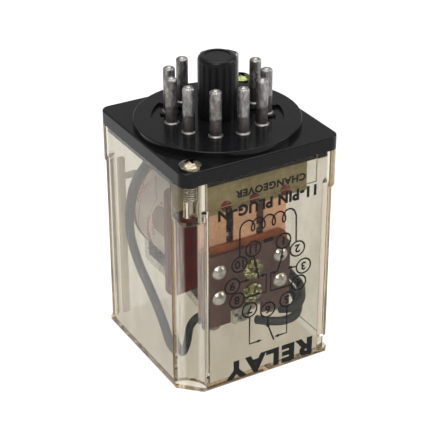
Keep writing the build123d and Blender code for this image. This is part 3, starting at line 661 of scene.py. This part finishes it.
patch = bmesh.new()
rows = []
along_n, across_n = 18, 12
tab_angle, tab_half = 76.0, 12.5
for i in range(along_n + 1):
    y = -3.6 + 8.6 * i / along_n
    fade = max(0.0, (y - 2.7) / 2.3)
    half = tab_half * math.sqrt(max(0.0, 1 - fade * fade)) + 0.4
    rows.append([(tab_angle - half + 2 * half * j / across_n, y) for j in range(across_n + 1)])
lower = [[patch.verts.new(Vector(on_wrap(a, y, 0.01)) * MM) for a, y in row] for row in rows]
upper = [[patch.verts.new(Vector(on_wrap(a, y, 0.22 + 0.05 * noise.noise(Vector((a / 4, y, 0))))) * MM)
          for a, y in row] for row in rows]
for i in range(along_n):
    for j in range(across_n):
        patch.faces.new((upper[i][j], upper[i + 1][j], upper[i + 1][j + 1], upper[i][j + 1]))
        patch.faces.new((lower[i][j], lower[i][j + 1], lower[i + 1][j + 1], lower[i + 1][j]))
rim = [(i, 0) for i in range(along_n)] + [(along_n, j) for j in range(across_n)]
rim += [(i, across_n) for i in range(along_n, 0, -1)] + [(0, j) for j in range(across_n, 0, -1)]
for (i, j), (k, m) in zip(rim, rim[1:] + rim[:1]):
    patch.faces.new((upper[i][j], upper[k][m], lower[k][m], lower[i][j]))
finish_piece("coil_tape_tab", patch, tape, "case")


# ---------------------------------------------------------------- guide rib inside the rear left corner
def bar(low, high, rounding):
    """A block between two corners, with rounded edges."""
    bm = bmesh.new()
    bmesh.ops.create_cube(bm, size=1)
    for v in bm.verts:
        v.co = Vector([(a + b) / 2 + (b - a) * c for a, b, c in zip(low, high, v.co)]) * MM
    bmesh.ops.bevel(bm, geom=bm.edges[:], offset=rounding * MM, segments=4, profile=0.5, affect="EDGES")
    return bm


guide = bar((-13.7, 14.9, 1.45), (-12.1, 15.85, 38.6), 0.35)
join(guide, bar((-12.3, 15.0, 33.4), (-9.3, 15.8, 34.8), 0.3))
finish_piece("guide_rib", guide, rib_plastic, "case")

# ---------------------------------------------------------------- return spring
spring_low, spring_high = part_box("return_spring")
axis_x = (spring_low.x + spring_high.x) / 2 / MM
axis_z = (spring_low.z + spring_high.z) / 2 / MM
coil_r = (spring_high.x - spring_low.x) / 2 / MM - 0.16
wire_r = 0.15
front_y = spring_low.y / MM + 0.25
rear_y = spring_high.y / MM - 0.25
turns = 10
helix = []
for step in range(turns * 16 + 1):
    a = step / 16 * 2 * math.pi
    helix.append((axis_x + coil_r * math.sin(a), front_y + (rear_y - front_y) * step / (turns * 16),
                  axis_z + coil_r * math.cos(a)))
# The front hook goes through the hole in the armature's tail and stays clear of its rim.
hook_front = [(axis_x, front_y - 1.85, axis_z - 0.15), (axis_x, front_y - 1.85, axis_z + 0.1),
              (axis_x, front_y - 1.2, axis_z + 0.1), (axis_x, front_y - 0.55, axis_z + 0.12),
              (axis_x, front_y - 0.3, axis_z + 0.4)]
hook_rear = [(axis_x, rear_y + 0.35, axis_z + 0.5), (axis_x, rear_y + 0.8, axis_z + 0.12),
             (axis_x, rear_y + 1.45, axis_z + 0.08), (axis_x, rear_y + 1.6, axis_z - 0.4)]
spring = tube(hook_front + helix + hook_rear, wire_r)
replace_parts(finish_piece("wound_return_spring", spring, paint["spring_steel"], "case"),
            "return_spring")


# ---------------------------------------------------------------- screw threads
def thread(name, x, y, low, high, root=0.78, crest=0.97, pitch=THREAD_PITCH, steps=28):
    """A helical ridge round an upright screw shank, from radius root to radius crest."""
    bm = bmesh.new()
    rings = []
    count = int((high - low) / pitch * steps)
    for step in range(count + 1):
        a = 2 * math.pi * step / steps
        z = low + pitch * step / steps
        ease = min(1, step / steps, (count - step) / steps)
        r = root - 0.02 + (crest - root + 0.02) * ease
        corners = ((root - 0.03, -0.42 * pitch), (r, -0.06 * pitch), (r, 0.06 * pitch),
                   (root - 0.03, 0.42 * pitch))
        rings.append([
            bm.verts.new(((x + rad * math.cos(a)) * MM, (y + rad * math.sin(a)) * MM, (z + dz) * MM))
            for rad, dz in corners
        ])
    for a, b in zip(rings, rings[1:]):
        for i in range(4):
            j = (i + 1) % 4
            bm.faces.new((a[i], a[j], b[j], b[i]))
    bm.faces.new(rings[0][::-1])
    bm.faces.new(rings[-1])
    return finish_piece(name, bm, paint["nickel_steel"], "case")


screws_low, screws_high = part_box("cover_screws")
head_r = 2.15
thread_low = screws_low.z / MM + 0.4
thread("screw_thread_front", screws_low.x / MM + head_r, screws_low.y / MM + head_r, thread_low, THREAD_TOP)
thread("screw_thread_rear", screws_high.x / MM - head_r, screws_high.y / MM - head_r, thread_low, THREAD_TOP)


# ---------------------------------------------------------------- solder
def blob(x, y, z, rx, ry, rz, seed):
    """An uneven lump of solder."""
    bm = bmesh.new()
    bmesh.ops.create_icosphere(bm, subdivisions=3, radius=1)
    for v in bm.verts:
        v.co *= 1 + 0.22 * noise.noise(v.co * 1.7 + Vector((seed, 0, 0)))
        v.co = Vector(((x + rx * v.co.x) * MM, (y + ry * v.co.y) * MM, (z + rz * v.co.z) * MM))
    return bm


solder = bmesh.new()
for n in (1, 2, 3):
    low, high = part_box(f"moving_spring_{n}")
    x = (low.x + high.x) / 2 / MM
    join(solder, blob(x, low.y / MM - 0.15, low.z / MM + 0.7, 1.0, 0.4, 0.75, n * 3.1))
finish_piece("tag_solder", solder, paint["solder"], "armature")
# The tails of the normally-open blades stand beside those of the normally-closed ones.
tail_shift = {"nc": (0, 0, 0), "no": (-1.4, -1.4, 1.4)}
tails = bmesh.new()
for n in (1, 2, 3):
    for kind in ("nc", "no"):
        low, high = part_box(f"{kind}_blade_{n}")
        shift = tail_shift[kind][n - 1]
        x = (low.x + high.x) / 2 / MM + shift
        join(tails, blob(x, high.y / MM + 0.12, high.z / MM - 0.35, 0.5, 0.28, 0.32, n + len(kind)))
finish_piece("tail_solder", tails, paint["solder"], "case")

# ---------------------------------------------------------------- stage
floor_mesh = bpy.data.meshes.new("floor")
floor_half = 3.0
floor_mesh.from_pydata([(-floor_half, -floor_half, 0), (floor_half, -floor_half, 0),
                        (floor_half, floor_half, 0), (-floor_half, floor_half, 0)], [], [(0, 1, 2, 3)])
floor = bpy.data.objects.new("floor", floor_mesh)
floor.location.z = -0.02 * MM
bpy.context.scene.collection.objects.link(floor)
material, tree, shader = new_material("studio_floor")
tone = grain(tree, place(tree), 40, 3)
pale = ramp(tree, tone, (0.3, (0.2, 0.2, 0.2)), (0.7, (0.22, 0.22, 0.22)))
tree.links.new(pale, shader.inputs["Base Color"])
put(shader, Roughness=0.8, Emission_Color=(0.8, 0.8, 0.8, 1), Emission_Strength=1.0)
floor_mesh.materials.append(material)
floor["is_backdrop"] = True

world = bpy.data.worlds.new("studio")
world.use_nodes = True
sky = world.node_tree
direction = sky.nodes.new("ShaderNodeTexCoord")
height = sky.nodes.new("ShaderNodeSeparateXYZ")
sky.links.new(direction.outputs["Generated"], height.inputs[0])
tone = ramp(sky, height.outputs["Z"], (0.0, (1, 1, 1)), (0.05, (1, 1, 1)), (0.1, (0.62, 0.62, 0.62)),
            (0.45, (0.44, 0.44, 0.45)), (0.8, (0.72, 0.72, 0.72)))
sky.links.new(tone, sky.nodes["Background"].inputs["Color"])
sky.nodes["Background"].inputs["Strength"].default_value = 1.0
bpy.context.scene.world = world


def soft_light(name, at, size, power, colour=(1, 1, 1)):
    """A square soft box at a point, turned to the middle of the relay."""
    lamp = bpy.data.lights.new(name, "AREA")
    lamp.shape = "SQUARE"
    lamp.size = size
    lamp.energy = power
    lamp.color = colour
    obj = bpy.data.objects.new(name, lamp)
    obj.location = at
    obj.rotation_euler = (Vector(at) - Vector((0, 0, 0.03))).to_track_quat("Z", "Y").to_euler()
    bpy.context.scene.collection.objects.link(obj)


soft_light("overhead", (0.05, 0.0, 0.9), 0.9, 8.0)
soft_light("key", (-0.45, -0.55, 0.65), 0.5, 5.0)
soft_light("fill", (0.7, -0.35, 0.45), 0.5, 3.5)

# ---------------------------------------------------------------- camera
azimuth, elevation = math.radians(-30.11), math.radians(29.14)
back = Vector((math.sin(azimuth) * math.cos(elevation), -math.cos(azimuth) * math.cos(elevation),
               math.sin(elevation)))
camera = bpy.data.cameras.new("camera")
camera.lens = 116.08
camera.sensor_width = 36
camera.clip_start = 0.01
camera.clip_end = 20
look_at = Vector((0.0, -0.00098, 0.02799))
viewing_distance = 0.28702
eye = bpy.data.objects.new("camera", camera)
eye.location = look_at + back * viewing_distance
eye.rotation_euler = back.to_track_quat("Z", "Y").to_euler()
bpy.context.scene.collection.objects.link(eye)
bpy.context.scene.camera = eye
bpy.context.scene.view_settings.view_transform = "Standard"
# Light runs a long way inside the clear walls before it gets out again.
paths = bpy.context.scene.cycles
paths.max_bounces = 40
paths.glossy_bounces = 32
paths.transmission_bounces = 40

low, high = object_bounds()
